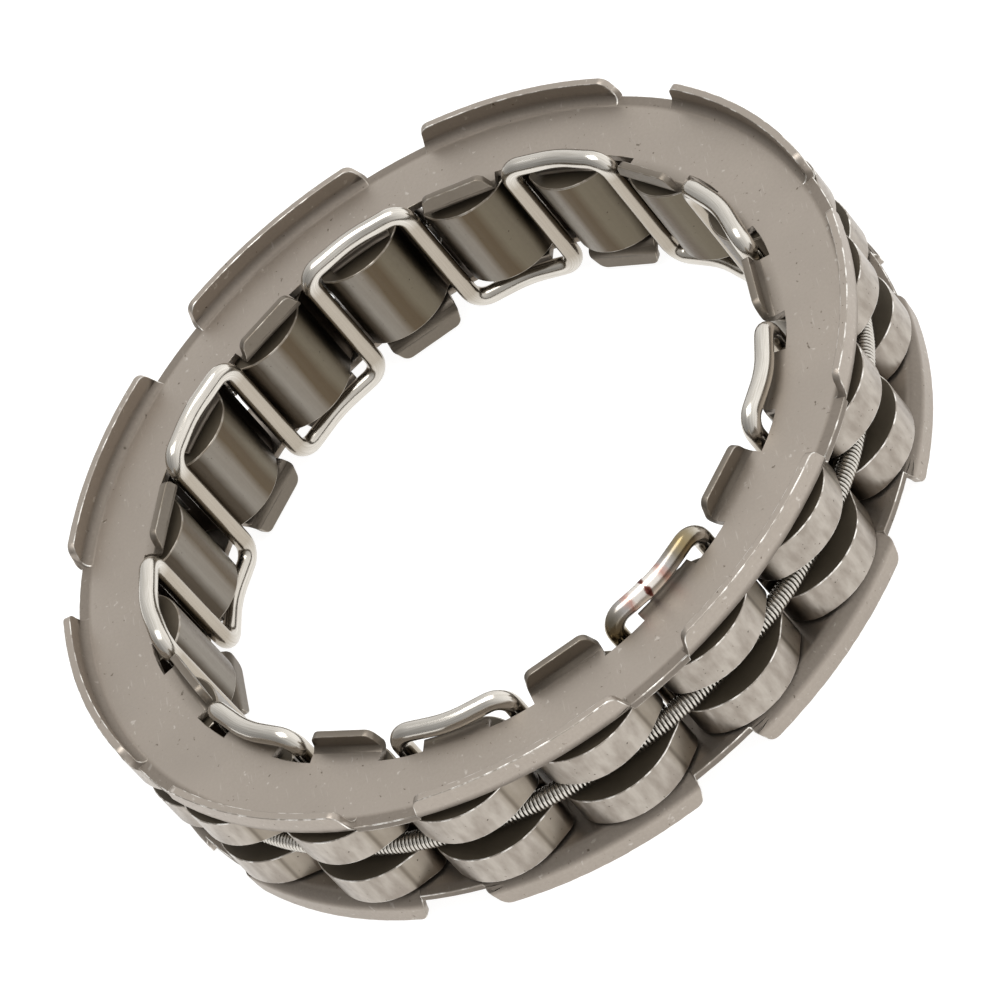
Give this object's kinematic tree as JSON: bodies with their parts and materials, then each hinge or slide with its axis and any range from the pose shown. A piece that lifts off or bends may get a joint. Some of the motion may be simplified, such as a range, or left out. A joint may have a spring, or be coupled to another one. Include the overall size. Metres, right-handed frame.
{
  "type": "sprag clutch cage",
  "caption": "Ring of tilting sprags held between two lipped side rings by a meander wire and a garter spring, for a one-way clutch between a shaft and a bore.",
  "frame": {"origin": "on the clutch's axis, in the plane of the rear lips' free edges that it rests on", "axes": "+Z along the clutch's axis from the rear ring to the front ring, +X through a wire leg"},
  "size_m": [0.0655, 0.066, 0.0133],
  "materials": {
    "pressed_steel": "tumbled satin, warm grey",
    "spring_wire": "bright drawn and polished",
    "spring_coil": "bright fine coil",
    "sprag_steel": "ground cams, brown sides"
  },
  "bodies": {
    "cage": {"front_side_ring": "pressed_steel", "rear_side_ring": "pressed_steel", "retaining_wire": "spring_wire", "garter_spring": "spring_coil"},
    "sprag_01": {"sprag_01": "sprag_steel"},
    "sprag_02": {"sprag_02": "sprag_steel"},
    "sprag_03": {"sprag_03": "sprag_steel"},
    "sprag_04": {"sprag_04": "sprag_steel"},
    "sprag_05": {"sprag_05": "sprag_steel"},
    "sprag_06": {"sprag_06": "sprag_steel"},
    "sprag_07": {"sprag_07": "sprag_steel"},
    "sprag_08": {"sprag_08": "sprag_steel"},
    "sprag_09": {"sprag_09": "sprag_steel"},
    "sprag_10": {"sprag_10": "sprag_steel"},
    "sprag_11": {"sprag_11": "sprag_steel"},
    "sprag_12": {"sprag_12": "sprag_steel"},
    "sprag_13": {"sprag_13": "sprag_steel"},
    "sprag_14": {"sprag_14": "sprag_steel"},
    "sprag_15": {"sprag_15": "sprag_steel"},
    "sprag_16": {"sprag_16": "sprag_steel"},
    "sprag_17": {"sprag_17": "sprag_steel"},
    "sprag_18": {"sprag_18": "sprag_steel"}
  },
  "joints": [
    {"name": "sprag_01_tilt", "type": "hinge", "parent": "cage", "child": "sprag_01", "pos_m": [0.02833, 0.005, 0.00665], "axis": [0, 0, 1], "range_deg": [-10, 1.5], "stiffness_Nm_per_rad": 0.02},
    {"name": "sprag_02_tilt", "type": "hinge", "parent": "cage", "child": "sprag_02", "pos_m": [0.02492, 0.01439, 0.00665], "axis": [0, 0, 1], "range_deg": [-10, 1.5], "stiffness_Nm_per_rad": 0.02},
    {"name": "sprag_03_tilt", "type": "hinge", "parent": "cage", "child": "sprag_03", "pos_m": [0.01849, 0.02204, 0.00665], "axis": [0, 0, 1], "range_deg": [-10, 1.5], "stiffness_Nm_per_rad": 0.02},
    {"name": "sprag_04_tilt", "type": "hinge", "parent": "cage", "child": "sprag_04", "pos_m": [0.00984, 0.02704, 0.00665], "axis": [0, 0, 1], "range_deg": [-10, 1.5], "stiffness_Nm_per_rad": 0.02},
    {"name": "sprag_05_tilt", "type": "hinge", "parent": "cage", "child": "sprag_05", "pos_m": [0, 0.02877, 0.00665], "axis": [0, 0, 1], "range_deg": [-10, 1.5], "stiffness_Nm_per_rad": 0.02},
    {"name": "sprag_06_tilt", "type": "hinge", "parent": "cage", "child": "sprag_06", "pos_m": [-0.00984, 0.02704, 0.00665], "axis": [0, 0, 1], "range_deg": [-10, 1.5], "stiffness_Nm_per_rad": 0.02},
    {"name": "sprag_07_tilt", "type": "hinge", "parent": "cage", "child": "sprag_07", "pos_m": [-0.01849, 0.02204, 0.00665], "axis": [0, 0, 1], "range_deg": [-10, 1.5], "stiffness_Nm_per_rad": 0.02},
    {"name": "sprag_08_tilt", "type": "hinge", "parent": "cage", "child": "sprag_08", "pos_m": [-0.02492, 0.01439, 0.00665], "axis": [0, 0, 1], "range_deg": [-10, 1.5], "stiffness_Nm_per_rad": 0.02},
    {"name": "sprag_09_tilt", "type": "hinge", "parent": "cage", "child": "sprag_09", "pos_m": [-0.02833, 0.005, 0.00665], "axis": [0, 0, 1], "range_deg": [-10, 1.5], "stiffness_Nm_per_rad": 0.02},
    {"name": "sprag_10_tilt", "type": "hinge", "parent": "cage", "child": "sprag_10", "pos_m": [-0.02833, -0.005, 0.00665], "axis": [0, 0, 1], "range_deg": [-10, 1.5], "stiffness_Nm_per_rad": 0.02},
    {"name": "sprag_11_tilt", "type": "hinge", "parent": "cage", "child": "sprag_11", "pos_m": [-0.02492, -0.01439, 0.00665], "axis": [0, 0, 1], "range_deg": [-10, 1.5], "stiffness_Nm_per_rad": 0.02},
    {"name": "sprag_12_tilt", "type": "hinge", "parent": "cage", "child": "sprag_12", "pos_m": [-0.01849, -0.02204, 0.00665], "axis": [0, 0, 1], "range_deg": [-10, 1.5], "stiffness_Nm_per_rad": 0.02},
    {"name": "sprag_13_tilt", "type": "hinge", "parent": "cage", "child": "sprag_13", "pos_m": [-0.00984, -0.02704, 0.00665], "axis": [0, 0, 1], "range_deg": [-10, 1.5], "stiffness_Nm_per_rad": 0.02},
    {"name": "sprag_14_tilt", "type": "hinge", "parent": "cage", "child": "sprag_14", "pos_m": [0, -0.02877, 0.00665], "axis": [0, 0, 1], "range_deg": [-10, 1.5], "stiffness_Nm_per_rad": 0.02},
    {"name": "sprag_15_tilt", "type": "hinge", "parent": "cage", "child": "sprag_15", "pos_m": [0.00984, -0.02704, 0.00665], "axis": [0, 0, 1], "range_deg": [-10, 1.5], "stiffness_Nm_per_rad": 0.02},
    {"name": "sprag_16_tilt", "type": "hinge", "parent": "cage", "child": "sprag_16", "pos_m": [0.01849, -0.02204, 0.00665], "axis": [0, 0, 1], "range_deg": [-10, 1.5], "stiffness_Nm_per_rad": 0.02},
    {"name": "sprag_17_tilt", "type": "hinge", "parent": "cage", "child": "sprag_17", "pos_m": [0.02492, -0.01439, 0.00665], "axis": [0, 0, 1], "range_deg": [-10, 1.5], "stiffness_Nm_per_rad": 0.02},
    {"name": "sprag_18_tilt", "type": "hinge", "parent": "cage", "child": "sprag_18", "pos_m": [0.02833, -0.005, 0.00665], "axis": [0, 0, 1], "range_deg": [-10, 1.5], "stiffness_Nm_per_rad": 0.02}
  ],
  "couplings": [
    {"joint": "sprag_02_tilt", "follows": "sprag_01_tilt", "ratio": 1},
    {"joint": "sprag_03_tilt", "follows": "sprag_01_tilt", "ratio": 1},
    {"joint": "sprag_04_tilt", "follows": "sprag_01_tilt", "ratio": 1},
    {"joint": "sprag_05_tilt", "follows": "sprag_01_tilt", "ratio": 1},
    {"joint": "sprag_06_tilt", "follows": "sprag_01_tilt", "ratio": 1},
    {"joint": "sprag_07_tilt", "follows": "sprag_01_tilt", "ratio": 1},
    {"joint": "sprag_08_tilt", "follows": "sprag_01_tilt", "ratio": 1},
    {"joint": "sprag_09_tilt", "follows": "sprag_01_tilt", "ratio": 1},
    {"joint": "sprag_10_tilt", "follows": "sprag_01_tilt", "ratio": 1},
    {"joint": "sprag_11_tilt", "follows": "sprag_01_tilt", "ratio": 1},
    {"joint": "sprag_12_tilt", "follows": "sprag_01_tilt", "ratio": 1},
    {"joint": "sprag_13_tilt", "follows": "sprag_01_tilt", "ratio": 1},
    {"joint": "sprag_14_tilt", "follows": "sprag_01_tilt", "ratio": 1},
    {"joint": "sprag_15_tilt", "follows": "sprag_01_tilt", "ratio": 1},
    {"joint": "sprag_16_tilt", "follows": "sprag_01_tilt", "ratio": 1},
    {"joint": "sprag_17_tilt", "follows": "sprag_01_tilt", "ratio": 1},
    {"joint": "sprag_18_tilt", "follows": "sprag_01_tilt", "ratio": 1}
  ]
}
